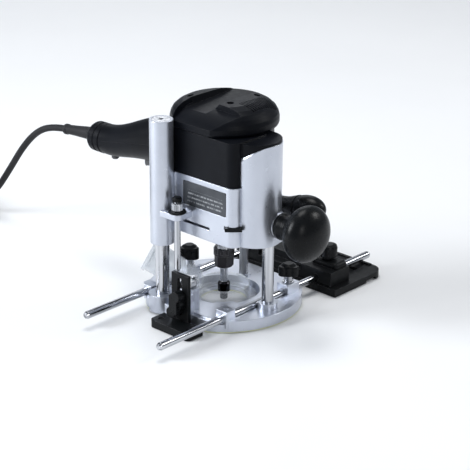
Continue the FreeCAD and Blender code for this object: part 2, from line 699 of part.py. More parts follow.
def depth_stop():
    """Depth rod with its fine adjuster, and the flange and nut that clamp it to the arm."""
    rod = turned("DepthRod", [
        ("0", "0"), ("stop_radius - 1", "0"), ("stop_radius", "1"), ("stop_radius", "72.6"), ("0", "72.6"),
    ], ("stop_x", "stop_y", "stop_low"))
    node("depth_rod", rod)
    crown = turned("Crown", [
        ("0", "0"), ("4.2", "0"), ("4.7", "0.6"), ("4.7", "3.8"), ("3.6", "5"), ("0", "5.2"),
    ], ("stop_x", "stop_y", "stop_low + 72.6"))
    ribs = [
        cylinder("0.5", "9", ("stop_x + 4.8 * cos(%d)" % angle, "stop_y + 4.8 * sin(%d)" % angle,
                              "stop_low + 72"))
        for angle in range(0, 360, 30)
    ]
    node("depth_adjuster", cut(crown, *ribs))
    flange = turned("Flange", [
        ("stop_radius + fit_run", "0"), ("8.6", "0"), ("9", "0.5"), ("9", "1.8"), ("8", "2.4"),
        ("stop_radius + fit_run", "2.4"),
    ], ("stop_x", "stop_y", "stop_arm_high + 0.02"))
    node("depth_flange", flange)
    nut = turned("Nut", [
        ("stop_radius + fit_run", "0"), ("5.4", "0"), ("5.8", "0.5"), ("5.8", "7.6"), ("5", "8.4"),
        ("stop_radius + fit_run", "8.4"),
    ], ("stop_x", "stop_y", "stop_arm_high + 2.6"))
    grooves = [
        cylinder("0.45", "12", ("stop_x + 5.9 * cos(%d)" % angle, "stop_y + 5.9 * sin(%d)" % angle,
                                "stop_arm_high + 1"))
        for angle in range(0, 360, 24)
    ]
    node("depth_nut", cut(nut, *grooves))


def bulb(wide, deep, at, turn):
    """An ellipsoid whose short axis is the knob's axis."""
    return put(add("Part::Ellipsoid", Radius1=deep, Radius2=wide, Radius3=wide), at, turn)


def plunge_lock():
    """Large mushroom knob and its spindle, which clamps the right column."""
    neck = turned("KnobNeck", [
        ("0", "0"), ("11.5", "0"), ("13.6", "1.6"), ("14", "5"), ("13", "10"), ("13.4", "14"), ("16", "18"),
        ("20", "22"), ("0", "30"),
    ], ("lock_x", "-79.4", "lock_level"), "-Y")
    head = bulb("28.6", "18.6", ("lock_x", "-79.4 - 33.4", "lock_level"), "-Y")
    room = cylinder("4.03", "34", ("lock_x", "-78", "lock_level"), "-Y")
    knob = cut(fuse(neck, head), room)
    stem = cylinder("4", "40.5", ("lock_x", "right_y - right_radius - fit_air", "lock_level"), "-Y")
    node("lock_knob", separate(knob, stem))


def hand_rest():
    """Fixed bulb-shaped hand rest beside the plunge lock, and its stud."""
    tilt = Rotation(Vector(1, 0, 0), 90 - 8)
    start = ("rest_x", "-47.6", "rest_level + 0.3")
    neck = turned("RestNeck", [
        ("0", "0"), ("8.2", "0"), ("9", "2"), ("9.4", "10"), ("11", "17"), ("12.4", "23"), ("0", "34"),
    ], start, tilt)
    middle = ("rest_x", "-47.6 - 34.5 * cos(8)", "rest_level + 0.3 + 34.5 * sin(8)")
    head = bulb("13.5", "21.5", middle, tilt)
    room = cylinder("3.02", "25", ("rest_x", "-42", "rest_level"), "-Y")
    stud = cylinder("3", "24", ("rest_x", "-42", "rest_level"), "-Y")
    node("hand_rest", separate(cut(fuse(neck, head), room), stud))


# ---------------------------------------------------------------- motor

def motor():
    """Stator, armature, fan, brush gear, bearings and spindle."""
    ring = cut(cylinder("33", "40", ("0", "0", "105")), cylinder("18.4", "60", ("0", "0", "95")))
    flats = [
        box(("-40", "28", "100"), ("40", "60", "150")),
        box(("-40", "-60", "100"), ("40", "-28", "150")),
    ]
    coils = [cut(ring, *flats)]
    for low in ("101.3", "145.1"):
        for side in ("1", "-1"):
            half = cut(
                cylinder("27.5", "4.3", ("0", "0", low)), cylinder("19", "9", ("0", "0", low + " - 1")))
            if side == "1":
                keep = box(("5", "-40", "90"), ("40", "40", "170"))
            else:
                keep = box(("-40", "-40", "90"), ("-5", "40", "170"))
            coils.append(common(half, keep))
    node("stator", separate(*coils))
    section = [
        ("5.02", "0"), ("13.5", "0"), ("15", "1.5"), ("15", "5"), ("17.8", "5"), ("17.8", "45"), ("15", "45"),
        ("15", "50"), ("13", "52"), ("5.02", "52"),
    ]
    core = turned("Armature", section, ("0", "0", "102.5"))
    slots = [
        put(add("Part::Box", Length="4", Width="1.4", Height="42"), ("0", "0", "106.5"),
            Rotation(Vector(0, 0, 1), 30 * i))
        for i in range(12)
    ]
    for i, slot in enumerate(slots):
        bind(slot, "Placement.Base.x", "15.6 * cos(%d) + 0.7 * sin(%d)" % (30 * i, 30 * i))
        bind(slot, "Placement.Base.y", "15.6 * sin(%d) - 0.7 * cos(%d)" % (30 * i, 30 * i))
    hub = cut(cylinder("8", "8", ("0", "0", "156")), cylinder("5.02", "10", ("0", "0", "155")))
    disc = cut(cylinder("27", "1.2", ("0", "0", "162.8")), cylinder("7", "10", ("0", "0", "155")))
    blades = [
        radial_slab(angle, 7.5, 0, "156", ("19", "1", "6.9"))
        for angle in range(0, 360, 40)
    ]
    node("cooling_fan", fuse(hub, disc, *blades))
    segments = turned("Commutator", [
        ("5.02", "0"), ("11.6", "0"), ("11.6", "2"), ("11", "2"), ("11", "13.5"), ("5.02", "13.5"),
    ], ("0", "0", "166"))
    node("armature", separate(cut(core, *slots), segments))
    spindle = turned("Spindle", [
        ("6.02", "2"), ("8", "2"), ("8", "17.3"), ("9", "17.4"), ("9", "21.8"), ("7.8", "22.4"),
        ("7.8", "48.8"), ("6", "48.8"), ("6", "57.6"), ("7.4", "57.6"), ("7.4", "60"), ("5", "60"),
        ("5", "143.6"), ("4", "143.6"), ("4", "151"), ("0", "151"), ("0", "20"), ("6.02", "20"),
    ], ("0", "0", "42"))
    node("spindle", cut(spindle, *[
        radial_slab(angle, -15, 8, "59.2", ("30", "10", "5"))
        for angle in (0, 60, 120, 180, 240, 300)
    ]))
    lower = turned("LowerBearing", [
        ("6.02", "0"), ("8", "0"), ("8.4", "0.5"), ("11.8", "0.5"), ("12.2", "0"), ("14", "0"), ("14", "8"),
        ("12.2", "8"), ("11.8", "7.5"), ("8.4", "7.5"), ("8", "8"), ("6.02", "8"),
    ], ("0", "0", "91.2"))
    upper = turned("UpperBearing", [
        ("4.02", "0"), ("5.6", "0"), ("6", "0.4"), ("9", "0.4"), ("9.4", "0"), ("11", "0"), ("11", "7"),
        ("9.4", "7"), ("9", "6.6"), ("6", "6.6"), ("5.6", "7"), ("4.02", "7"),
    ], ("0", "0", "186.05"))
    node("bearings", separate(lower, upper))
    gear = []
    for side in (1, -1):
        near, far = ("12.4", "26") if side == 1 else ("-26", "-12.4")
        tube = box((near, "-4.2", "168.6"), (far, "4.2", "177.6"))
        bore = box(("-30", "-3.05", "169.7"), ("30", "3.05", "176.5"))
        gear.append(cut(tube, bore))
        near, far = ("11.06", "23") if side == 1 else ("-23", "-11.06")
        gear.append(box((near, "-3", "169.75"), (far, "3", "176.45")))
    node("brush_gear", separate(*gear))


def collet_and_cutter():
    """Collet, its nut and a straight cutter with a guide bearing's pilot."""
    sleeve = turned("Collet", [
        ("4.03", "0"), ("5.2", "0"), ("5.98", "2.4"), ("5.98", "19.6"), ("4.03", "19.6"),
    ], ("0", "0", "41.6"))
    slits = [
        radial_slab(angle, -10, 0, "41", ("20", "0.8", "14"))
        for angle in (0, 60, 120)
    ]
    node("collet", cut(sleeve, *slits))
    lower = prism(6, "10.2", "13", ("0", "0", "39.3"))
    lower = common(lower, cone("8.8", "20", "14", ("0", "0", "39.3")))
    upper = cylinder("10.75", "7.2", ("0", "0", "51.9"))
    teeth = [
        cylinder("1.6", "10", ("11.6 * cos(%d)" % angle, "11.6 * sin(%d)" % angle, "54"))
        for angle in range(0, 360, 30)
    ]
    bores = [
        cylinder("6.02", "30", ("0", "0", "38")),
        cylinder("8.02", "30", ("0", "0", "43.9")),
    ]
    node("collet_nut", cut(fuse(lower, upper), *teeth, *bores))
    shank = turned("Bit", [
        ("0", "2.4"), ("3.4", "2.4"), ("4", "3"), ("4", "10.5"), ("6.4", "11.5"), ("6.4", "20"),
        ("5.4", "21.2"),
        ("4", "21.8"), ("4", "58"), ("0", "58"),
    ], ("0", "0", "0"))
    flutes = [
        box(("1.2", "0.8", "10.8"), ("9", "9", "20.2")),
        box(("-9", "-9", "10.8"), ("-1.2", "-0.8", "20.2")),
    ]
    node("router_bit", cut(shank, *flutes))


# ---------------------------------------------------------------- motor casing and top cap

def casing_block(inset, low, high):
    """The casing's plan: round at the back, square with rounded corners in front."""
    tall = "%s - (%s)" % (high, low)
    barrel = common(
        cylinder("house_radius - 0.5 - %s" % inset, tall, ("0", "0", low)),
        box(("house_front + 1 + %s" % inset, "-60", low), ("60", "60", high)))
    front = box(("house_front + 1 + %s" % inset, "house_side + 1.5 + %s" % inset, low),
                ("0", "29 - %s" % inset, high))
    front = rounded(front, "house_corner - %s" % inset, front_corner)
    return fuse(barrel, front)


def motor_casing():
    """Black upper casing with the top bearing's seat, brush shelves and a cover over the pod."""
    over_pod = cylinder(
        "pod_radius - 0.6", "pod_high - pod_round + 10", ("pod_x", "pod_y", "pod_round - 7.5"))
    outer = cut(fuse(casing_block("0", "house_high + 0.02", "case_high - 1"), over_pod), pod_form("0.4"))
    inner = cut(casing_block("case_wall", "house_high - 1", "case_high - 9"), pod_form("0.4 + case_wall"))
    vents = [
        cylinder("5", "12", ("30 * cos(%d)" % angle, "30 * sin(%d)" % angle, "case_high - 11"))
        for angle in range(20, 380, 60)
    ]
    seat = [
        cylinder("11.02", "7.3", ("0", "0", "case_high - 9.1")),
        cylinder("6", "20", ("0", "0", "case_high - 11")),
    ]
    shelves = []
    for side in (1, -1):
        near, far = ("14", "48") if side == 1 else ("-47", "-14")
        shelves.append(box((near, "-6", "165.6"), (far, "6", "168.55")))
    screw_holes = [cylinder("1.75", "12", (x, y, "case_high - 10")) for x, y in CAP_SCREWS]
    passage = box(("-11", "38", "160"), ("11", "house_radius + 2", "178"))
    shell = cut(outer, inner, *vents, *seat, *screw_holes, passage)
    node("motor_casing", fuse(shell, *shelves))


CAP_SCREWS = [("-17", "31"), ("18", "31"), ("-10", "-17"), ("29", "-17")]
sizes("dial", x=45.5, radius=11, low=200, high=206)


sizes("valley", low=208)
sizes("slope", x=-17.4, level=168, radius=45.5)


def cap_dome(inset):
    """The cap's outer form, shrunk by an inset: a dome with a shallow valley along X."""
    edge = "cap_radius - %s" % inset
    top = "cap_high - case_high - %s" % inset
    dome = turned("Dome", [
        ("0", "0"), (edge + " - 0.8", "0"), (edge, "2"), (edge, "7"), (edge + " - 1", "11"),
        (edge + " - 3.2", "15"),
        (edge + " - 7.2", "18.6 - %s" % inset), (edge + " - 13", "21.6 - %s" % inset),
        (edge + " - 22", "24 - %s" % inset), ("0", top),
    ], ("0", "0", "case_high"))
    channel = plate("Channel", "YZ_Plane", [
        ("-5 - " + inset, "-" + inset), ("23.5 + " + inset, "-" + inset),
        ("28.5 + " + inset, "20"), ("-24 - " + inset, "20"),
    ], "160", ("0", "0", "0"))
    put(channel, ("-80", "0", "valley_low"), Rotation(Vector(0, 1, 0), -3.5))
    flush = box(("-70", "-70", "case_high - 5"), ("house_front + 0.2 + " + inset, "70", "cap_high + 10"))
    slope = cut(
        box(("-80", "-70", "case_high - 5"), ("-21 + " + inset, "25 + " + inset, "cap_high + 10")),
        cylinder("slope_radius - %s" % inset, "200", ("slope_x", "-100", "slope_level"), "Y"))
    return cut(dome, channel, slope, flush)


def top_cap():
    """Domed cap with screw recesses, a row of vent slots and a window for the speed dial."""
    hollow = cap_dome("cap_wall")
    pillars = [cylinder("4.4", "30", (x, y, "case_high")) for x, y in CAP_SCREWS]
    pillars = common(fuse(*pillars), cap_dome("1"))
    shell = fuse(cut(cap_dome("0"), hollow), pillars)
    holes = [cylinder("1.75", "40", (x, y, "case_high - 5")) for x, y in CAP_SCREWS]
    holes += [cylinder("3.5", "20", (x, y, "case_high + 15")) for x, y in CAP_SCREWS]
    slots = [
        box(("-6 + 3.2 * %d" % i, "-44", "case_high + 13"), ("-4.4 + 3.2 * %d" % i, "-24", "cap_high + 9"))
        for i in range(12)
    ]
    dial = box(("36", "-dial_radius - 0.6", "dial_low - 0.6"), ("60", "dial_radius + 0.6", "dial_high + 0.6"))
    node("top_cap", cut(shell, *holes, *slots, dial))


def carriage_screws():
    """Four screws that hold the cap on the casing, and three that join the handle's shells."""
    screws = []
    for x, y in CAP_SCREWS:
        head = cylinder("3.1", "2.6", (x, y, "case_high + 15"))
        socket = prism(6, "1.7", "3", (x, y, "case_high + 16.2"))
        screws.append(cut(fuse(head, cylinder("1.7", "22.5", (x, y, "case_high - 7"))), socket))
    for y, low in zip(HANDLE_SCREWS, HANDLE_FEET):
        head = cylinder("3", "2.4", ("0", y, low + " + 4.6"))
        screws.append(fuse(head, cylinder("1.5", "26", ("0", y, low + " + 7"))))
    node("carriage_screws", separate(*screws))


def speed_control():
    """Potted electronics under the cap and the thumb wheel that sets the speed."""
    wheel = cylinder("dial_radius", "dial_high - dial_low", ("dial_x", "0", "dial_low"))
    notches = [
        cylinder("0.8", "9", ("dial_x + (dial_radius + 0.4) * cos(%d)" % angle,
                              "(dial_radius + 0.4) * sin(%d)" % angle, "dial_low - 1"))
        for angle in range(0, 360, 20)
    ]
    bore = cylinder("2.05", "12", ("dial_x", "0", "dial_low - 2"))
    node("speed_dial", cut(wheel, *notches, bore))
    block = box(("-14", "-12", "case_high + 0.3"), ("32", "17", "case_high + 9"))
    tongue = box(("31", "-5", "case_high + 0.3"), ("50.5", "5", "case_high + 3.6"))
    pin = cylinder("2", "9.8", ("dial_x", "0", "case_high + 1"))
    node("speed_module", fuse(block, tongue, pin))


# ---------------------------------------------------------------- main handle

sizes("handle", start=36, wall=2.8, end=171, seam=160, slope=-10.9)
HANDLE_SECTIONS = [
    ("22", "161", "25.5", "30"), ("51", "160", "24", "29"), ("75", "156.5", "21", "26.5"),
    ("108", "150.6", "18.5", "23"), ("135", "143", "17", "19.3"), ("157", "137.3", "16.3", "17.3"),
    ("171", "136", "15.8", "16.2"),
]


UPRIGHT_RING = Rotation(Vector(1, 1, 1), -120)


def handle_form(inset, shorter):
    """The handle's form, lofted through its cross sections, shrunk by an inset."""
    loft = doc.addObject("Part::Loft", "HandleForm")
    sections = []
    for i, (y, level, wide, tall) in enumerate(HANDLE_SECTIONS):
        last = i == len(HANDLE_SECTIONS) - 1
        ring = add("Part::Ellipse", MajorRadius=tall + " - " + inset, MinorRadius=wide + " - " + inset)
        reach = "%s - %s" % (y, shorter if last else 0)
        sections.append(put(ring, ("0", reach, level), UPRIGHT_RING))
    loft.Sections = sections
    loft.Solid = True
    return loft


def handle():
    """Two handle shells, their screws, trigger, switch, buttons and power inlet."""
    front = cylinder("house_radius + 0.02", "200", ("0", "0", "60"))
    room = box(("-60", "handle_start", "60"), ("60", "handle_end", "260"))
    outer = common(handle_form("0", 0), room)
    posts = [
        common(cylinder("4.2", "100", ("0", y, "100")), handle_form("0.5", 1))
        for y in HANDLE_SCREWS
    ]
    room = common(handle_form("handle_wall", 3), box(("-60", "20", "60"), ("60", "168", "260")))
    solid = fuse(cut(outer, room),
                 common(fuse(*posts), room))
    ribs = [
        box((low, "82", "126"), (high, "89", "138"))
        for low, high in (("-9.5", "-5.4"), ("5.4", "9.5"))
    ]
    solid = fuse(solid, common(fuse(*ribs), outer))
    openings = [
        front,
        box(("-5.3", "82", "100"), ("5.3", "111", "139.5")),
        cylinder("9.12", "12", ("0", "handle_end - 6", "inlet_level"), "Y"),
        cylinder("4.4", "12", ("0", "latch_y", "112")),
        cylinder("5.2", "12", ("14", "lock_button_y", "lock_button_level"), "X"),
        cylinder("1.55", "30", ("-15", "85.5", "133"), "X"),
    ]
    openings += [cylinder("1.52", "34", ("0", y, low)) for y, low in zip(HANDLE_SCREWS, HANDLE_FEET)]
    openings += [cylinder("3.2", "7", ("0", y, low)) for y, low in zip(HANDLE_SCREWS, HANDLE_FEET)]
    body = cut(solid, *openings)
    tilt = Rotation(Vector(1, 0, 0), number("handle_slope"))
    seam = ("-70", "0", "handle_seam + 9.8")
    above = put(add("Part::Box", Length="140", Width="300", Height="120"), seam, tilt)
    below = put(add("Part::Box", Length="140", Width="300", Height="120"), seam, tilt)
    drop = tilt.multVec(Vector(0, 0, -120))
    for letter, text in zip("xyz", ("-70", "0", "handle_seam + 9.8")):
        bind(below, "Placement.Base." + letter, "%s + %.6f" % (text, getattr(drop, letter)))
    node("handle_upper", common(body, above))
    node("handle_lower", common(body, below))


HANDLE_SCREWS = ["66", "127", "149.5"]
HANDLE_FEET = ["126", "122", "117.8"]
sizes("inlet", level=135.7)
sizes("latch", y=160.5)
sizes("lock_button", y=96, level=151)


def handle_controls():
    """Trigger on its pin, lock-on button, cord latch and the switch they work."""
    paddle = box(("-4.9", "83.2", "121.5"), ("4.9", "110", "137.2"))
    paddle = rounded(paddle, "3.5", lambda edge: along(edge, Vector(1, 0, 0)))
    scoop = cylinder("22", "12", ("-6", "100", "101.6"), "X")
    node("trigger", fuse(cut(paddle, scoop), cylinder("1.5", "18", ("-9", "85.5", "133"), "X")))
    block = box(("-8", "88", "141.5"), ("8", "114", "160"))
    lug = box(("-3", "94", "159"), ("3", "108", "163"))
    terminal = [cylinder("1.6", "3", (x, "116.5", "150"), "-Y") for x in ("-4", "4")]
    node("switch", fuse(block, lug, *terminal))
    button = turned("LockButton", [
        ("0", "0"), ("3.4", "0"), ("3.4", "2.6"), ("4.8", "2.6"), ("4.8", "8.8"), ("4", "9.6"), ("0", "9.9"),
    ], ("10.4", "lock_button_y", "lock_button_level"), "X")
    node("lock_on_button", button)
    latch = turned("Latch", [
        ("0", "0"), ("3", "0"), ("4.1", "1.2"), ("4.1", "7.5"), ("0", "7.5"),
    ], ("0", "latch_y", "116.2"))
    node("cord_latch", latch)


def mains_connection():
    """Power inlet, twist ring, the lead's connector and its strain relief."""
    body = cylinder("9.05", "19.6", ("0", "154.4", "inlet_level"), "Y")
    key = cylinder("10.6", "2.6", ("0", "handle_end + 0.02", "inlet_level"), "Y")
    pins = [cylinder("1.5", "6", (x, "174", "inlet_level"), "Y") for x in ("-4", "4")]
    node("power_inlet", fuse(body, key, *pins))
    ring = turned("TwistRing", [
        ("10.9", "0"), ("15.6", "0"), ("16.4", "0.9"), ("16.4", "5.6"), ("15.4", "6.4"), ("15.4", "8"),
        ("16.4", "8.8"), ("16.2", "15.5"), ("14.6", "18"), ("10.9", "18"),
    ], ("0", "handle_end + 0.4", "inlet_level"), "Y")
    ribs = [
        cylinder("0.7", "9", ("16.7 * cos(%d)" % angle, "handle_end + 10",
                              "inlet_level + 16.7 * sin(%d)" % angle), "Y")
        for angle in range(0, 360, 20)
    ]
    node("twist_ring", cut(ring, *ribs))
    plug = turned("CordPlug", [
        ("0", "0"), ("10.6", "0"), ("10.6", "13.6"), ("9.2", "15"), ("8.8", "21.8"), ("8", "22.6"),
        ("0", "22.6"),
    ], ("0", "handle_end + 3.2", "inlet_level"), "Y")
    sockets = [cylinder("1.7", "10", (x, "handle_end + 1", "inlet_level"), "Y") for x in ("-4", "4")]
    relief = turned("StrainRelief", [
        ("0", "0"), ("7.4", "0"), ("7", "3"), ("6.8", "8"), ("5.8", "24"), ("5.2", "38"), ("5.9", "39"),
        ("5.9", "42"), ("5.2", "43.2"), ("0", "43.2"),
    ], ("0", "handle_end + 25.82", "inlet_level"), RELIEF_TILT)
    node("cord_plug", fuse(cut(plug, *sockets), relief))


RELIEF_TILT = Rotation(Vector(1, 0, 0), -90 - 6)


# ---------------------------------------------------------------- mains lead

sizes("cord", radius=3.75, coil_x=-71.25, coil_y=415.6, coil_radius=45, coil_half=11.25, coil_tall=30)


def cord_route():
    """Points of the lead from the strain relief to the coil."""
    return [
        Vector(0, 240.1, 131.15), Vector(0, 262, 128.85), Vector(-0.5, 288, 117.5), Vector(-2, 312, 94),
        Vector(-5, 334, 62), Vector(-8.5, 356, 31.5), Vector(-12.5, 381, 10), Vector(-16.5, 404, 4.6),
        Vector(-19.5, 424.5, 4.2),
    ]


def cord_path(points):
    """Straight runs joined by tangent arcs, each arc as large as its two runs allow."""
    edges = []
    start = points[0]
    for before, corner, after in zip(points, points[1:], points[2:]):
        inward = (corner - before).normalize()
        outward = (after - corner).normalize()
        turn = inward.getAngle(outward)
        shorter = min((corner - before).Length, (after - corner).Length)
        setback = 0.45 * shorter
        radius = setback / math.tan(turn / 2)
        print("lead turn %5.1f deg radius %6.1f mm" % (math.degrees(turn), radius))
        enter = corner - inward * setback
        leave = corner + outward * setback
        bisector = (outward - inward).normalize()
        middle = corner + bisector * (radius / math.cos(turn / 2) - radius)
        edges.append(Part.LineSegment(start, enter).toShape())
        edges.append(Part.Arc(enter, middle, leave).toShape())
        start = leave
    edges.append(Part.LineSegment(start, points[-1]).toShape())
    return Part.Wire(edges)


def mains_lead():
    """The free lead, the coil of its put-away length, and its plug."""
    points = cord_route()
    path = cord_path(points)
    radius = number("cord_radius")
    section = Part.Wire(Part.makeCircle(radius, points[0], points[1] - points[0]))
    tube = path.makePipeShell([section], True, False)
    expected = math.pi * radius ** 2 * path.Length
    print("lead tube length %.1f mm, volume ratio %.4f" % (path.Length, tube.Volume / expected))
    lead = doc.addObject("Part::Feature", "Lead")
    lead.Shape = tube
    node("mains_lead", lead)
    coil = turned("Coil", [
        ("cord_coil_radius - cord_coil_half", "3"), ("cord_coil_radius - cord_coil_half + 3", "0"),
        ("cord_coil_radius + cord_coil_half - 3", "0"), ("cord_coil_radius + cord_coil_half", "3"),
        ("cord_coil_radius + cord_coil_half", "cord_coil_tall - 3"),
        ("cord_coil_radius + cord_coil_half - 3", "cord_coil_tall"),
        ("cord_coil_radius - cord_coil_half + 3", "cord_coil_tall"),
        ("cord_coil_radius - cord_coil_half", "cord_coil_tall - 3"),
    ], ("cord_coil_x", "cord_coil_y", "0"))
    node("mains_lead_coil", coil)
    plug_x = "cord_coil_x - cord_coil_radius - cord_coil_half - 4"
    grip = turned("PlugNeck", [
        ("0", "0"), ("4.6", "0"), ("5.2", "24"), ("8", "30"), ("0", "30"),
    ], (plug_x, "cord_coil_y - 6", "8.6"), "-Y")
    body = box((plug_x + " - 17", "cord_coil_y - 70", "0.6"), (plug_x + " + 13", "cord_coil_y - 34", "16.6"))
    body = rounded(body, "5", upright)
    node("mains_plug", fuse(grip, body))
    pins = [
        cylinder("2.4", "22", ("%s - 2 + %s" % (plug_x, gap), "cord_coil_y - 70", "8.6"), "-Y")
        for gap in ("9.5", "-9.5")
    ]
    node("plug_pins", separate(*pins))


# ---------------------------------------------------------------- build and export

def build():
    doc.recompute()
    base_plate()
    sole_plate()
    base_screws()
    column("left")
    column("right")
    spring_parts()
    dust_hood()
    turret()
    clamp_knob("rear_clamp", "1.6", "rod_side", "rail_top + 1", "13")
    clamp_knob("front_clamp", "42", "-rod_side", "rail_top", "10.5")
    guide_rods()
    guide_stop()
    stop_knob("front", "-rod_side")
    stop_knob("rear", "rod_side")
    support_foot()
    motor_housing()
    column_bushes()
    sleeve_plug()
    rating_plate()
    spindle_lock()
    depth_stop()
    plunge_lock()
    hand_rest()
    motor()
    collet_and_cutter()
    motor_casing()
    top_cap()
    carriage_screws()
    speed_control()
    handle()
    handle_controls()
    mains_connection()
    mains_lead()


def check():
    """Stop with a plain message when an object failed or a sub-part is not one sound shape."""
    doc.recompute()
    for item in doc.Objects:
        if "Invalid" in item.State or "Error" in item.State:
            raise RuntimeError("failed: %s %s %s" % (item.Name, item.Label, item.State))
    for item in NODES:
        shape = item.Shape
        if shape.isNull() or not shape.isValid() or not shape.Solids:
            raise RuntimeError("unsound sub-part: " + item.Label)
        print("%-24s %2d solids %10.0f mm3" % (item.Label, len(shape.Solids), shape.Volume))


def export():
    os.makedirs("parts", exist_ok=True)
    for item in NODES:
        item.Shape.exportStep("parts/%s.step" % item.Label)


build()
check()
export()
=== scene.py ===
"""Looks of the plunge router: camera, mains lead, surface finishes, floor and light."""

import math

import bpy
from mathutils import Matrix, Vector


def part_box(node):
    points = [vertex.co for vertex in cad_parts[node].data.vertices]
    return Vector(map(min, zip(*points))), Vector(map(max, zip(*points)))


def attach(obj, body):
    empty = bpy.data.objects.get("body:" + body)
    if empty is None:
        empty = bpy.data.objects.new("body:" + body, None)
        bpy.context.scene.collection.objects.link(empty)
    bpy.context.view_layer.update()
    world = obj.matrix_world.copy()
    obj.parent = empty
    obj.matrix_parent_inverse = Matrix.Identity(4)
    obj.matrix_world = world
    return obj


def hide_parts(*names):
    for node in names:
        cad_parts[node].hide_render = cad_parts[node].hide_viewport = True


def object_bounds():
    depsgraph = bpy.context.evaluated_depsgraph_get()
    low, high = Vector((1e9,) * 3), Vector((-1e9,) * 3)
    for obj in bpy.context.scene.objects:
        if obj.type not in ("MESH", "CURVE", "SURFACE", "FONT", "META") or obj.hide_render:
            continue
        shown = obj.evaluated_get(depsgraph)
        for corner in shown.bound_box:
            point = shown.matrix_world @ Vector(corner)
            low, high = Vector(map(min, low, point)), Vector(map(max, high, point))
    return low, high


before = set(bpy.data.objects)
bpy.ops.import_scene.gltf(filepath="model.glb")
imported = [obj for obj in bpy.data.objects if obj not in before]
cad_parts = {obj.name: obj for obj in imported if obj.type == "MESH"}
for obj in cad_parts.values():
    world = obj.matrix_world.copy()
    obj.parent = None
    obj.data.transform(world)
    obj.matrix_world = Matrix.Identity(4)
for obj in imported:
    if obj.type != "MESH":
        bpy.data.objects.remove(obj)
cad_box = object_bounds()
scene = bpy.context.scene


# ---------------------------------------------------------------- camera

CAMERA_LENS = 124.6
CAMERA_FRAME = 36
CAMERA_REACH = 50
CAMERA_PLACE = (-1.122, -1.054, 0.696)
CAMERA_RIGHT = (0.6815, -0.7317, 0.0071)
CAMERA_UP = (0.2702, 0.2606, 0.9268)
CAMERA_AHEAD = (0.6801, 0.6297, -0.3753)


def add_camera():
    data = bpy.data.cameras.new("camera")
    data.lens = CAMERA_LENS
    data.sensor_width = CAMERA_FRAME
    data.clip_end = CAMERA_REACH
    camera = bpy.data.objects.new("camera", data)
    turn = Matrix((CAMERA_RIGHT, CAMERA_UP, -Vector(CAMERA_AHEAD))).transposed()
    camera.matrix_world = Matrix.Translation(CAMERA_PLACE) @ turn.to_4x4()
    scene.collection.objects.link(camera)
    scene.camera = camera


add_camera()


# ---------------------------------------------------------------- mains lead

LEAD_DIAMETER = 0.0075
LEAD_ROUTE = [
    (0, 0.2401, 0.13115), (0, 0.262, 0.12885), (-0.0005, 0.288, 0.1175), (-0.002, 0.312, 0.094),
    (-0.005, 0.334, 0.062), (-0.0085, 0.356, 0.0315), (-0.0125, 0.381, 0.010),
    (-0.0165, 0.404, 0.0046), (-0.0195, 0.4245, 0.0042),
]
COIL_CENTRE = Vector((-0.07125, 0.4156))
COIL_INNER = 0.0375
COIL_STEP = 20
# The coil's steps: the angle where a step starts, and the column and the row that it leads to.
# Each step takes STEP_TURN degrees and stays clear of the steps in the rows below and above it.
COIL_STEPS = [
    (310, 1, 0), (670, 0, 0), (910, 0, 1), (1210, 1, 1), (1570, 2, 1), (1870, 2, 2),
    (2170, 1, 2), (2530, 0, 2), (2830, 0, 3), (3130, 1, 3), (3490, 2, 3),
]
STEP_TURN = 60
COIL_START = 30
COIL_END = 3610
TAIL_TURN = 50
TAIL_END = 3780
TAIL_OUT = 0.06025
NECK_LEVEL = 0.0086
NECK_BACK = 0.009


def between(value, low, high):
    """How far value is from low to high, held between 0 and 1."""
    return min(max((value - low) / (high - low), 0), 1)


def coil_place(angle):
    """Distance from the coil's axis and height of the lead's line at an angle along the coil."""
    column, row = 2, 0
    for start, next_column, next_row in COIL_STEPS:
        part = between(angle, start, start + STEP_TURN)
        column += (next_column - column) * part
        row += (next_row - row) * part
    reach = COIL_INNER + column * LEAD_DIAMETER
    level = (row + 0.5) * LEAD_DIAMETER
    out = between(angle, COIL_END, COIL_END + TAIL_TURN)
    down = between(angle, COIL_END + TAIL_TURN, TAIL_END)
    return reach + (TAIL_OUT - reach) * out, level + (NECK_LEVEL - level) * down


def coil_points():
    """Control points of the coil; they stand a little outside the line that the spline takes."""
    points = []
    for angle in range(COIL_START, TAIL_END + 1, COIL_STEP):
        reach, level = coil_place(angle)
        reach /= math.cos(math.radians(COIL_STEP / 2))
        x = COIL_CENTRE.x + reach * math.cos(math.radians(angle))
        y = COIL_CENTRE.y + reach * math.sin(math.radians(angle))
        points.append((x, y, level))
    return points


def add_lead():
    data = bpy.data.curves.new("mains_lead_line", "CURVE")
    data.dimensions = "3D"
    data.bevel_depth = 1
    data.bevel_resolution = 6
    data.resolution_u = 5
    data.use_fill_caps = True
    neck = (COIL_CENTRE.x - TAIL_OUT, COIL_CENTRE.y - NECK_BACK, NECK_LEVEL)
    points = LEAD_ROUTE + coil_points() + [neck]
    spline = data.splines.new("NURBS")
    spline.points.add(len(points) - 1)
    for point, place in zip(spline.points, points):
        point.co = (*place, 1)
        point.radius = LEAD_DIAMETER / 2
    spline.order_u = 3
    spline.use_endpoint_u = True
    lead = bpy.data.objects.new("lead", data)
    scene.collection.objects.link(lead)
    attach(lead, "base")
    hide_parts("mains_lead", "mains_lead_coil")
    return lead


lead = add_lead()


# ---------------------------------------------------------------- building blocks of the finishes

